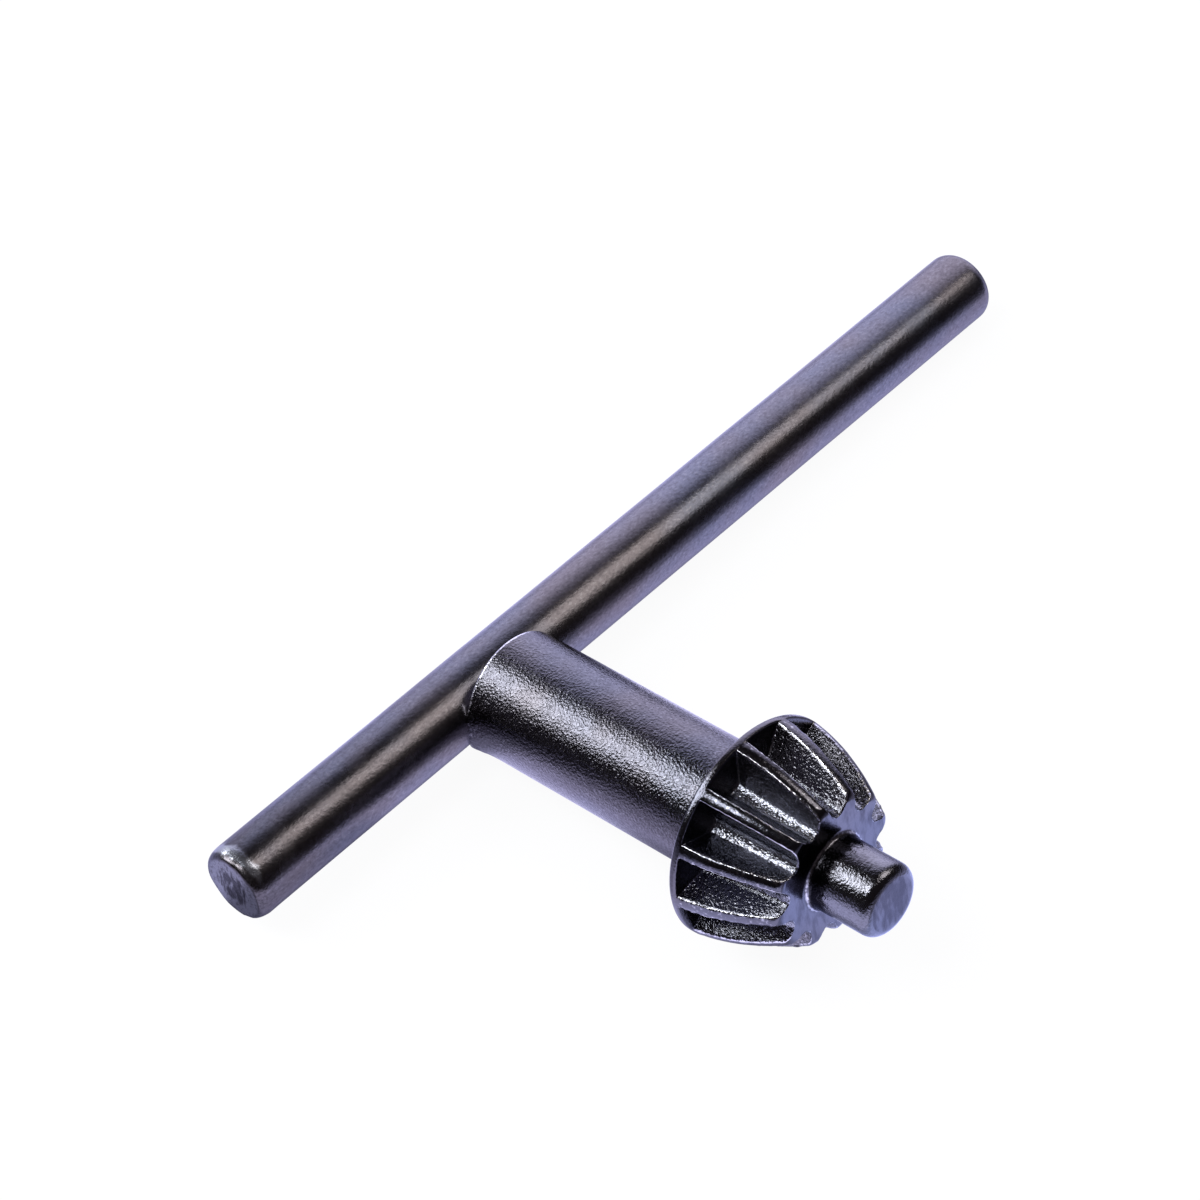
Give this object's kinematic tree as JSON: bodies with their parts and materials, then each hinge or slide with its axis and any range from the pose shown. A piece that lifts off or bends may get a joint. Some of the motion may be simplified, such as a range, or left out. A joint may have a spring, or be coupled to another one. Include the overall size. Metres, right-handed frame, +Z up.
{
  "type": "drill chuck key",
  "caption": "T-shaped key for a geared drill chuck: a round bar welded off centre across the foot of a shank that ends in a bevel pinion and a pilot pin.",
  "frame": {"origin": "where the shank's axis meets the crossbar's axis, with the key lying as it comes to rest", "axes": "+Y along the crossbar towards its long arm, +X the way the shank and pilot point seen from above, +Z up from the surface that the key lies on, which is 4.7 mm below the origin"},
  "size_m": [0.0442, 0.088, 0.0179],
  "materials": {
    "forged_steel": "hardened steel with a satin black oxide, shot blasted on the shank",
    "bar_steel": "drawn steel rod with a satin black oxide, smooth, with light scuffs along it"
  },
  "bodies": {
    "root": {"key_body": "forged_steel", "crossbar": "bar_steel"}
  },
  "joints": []
}
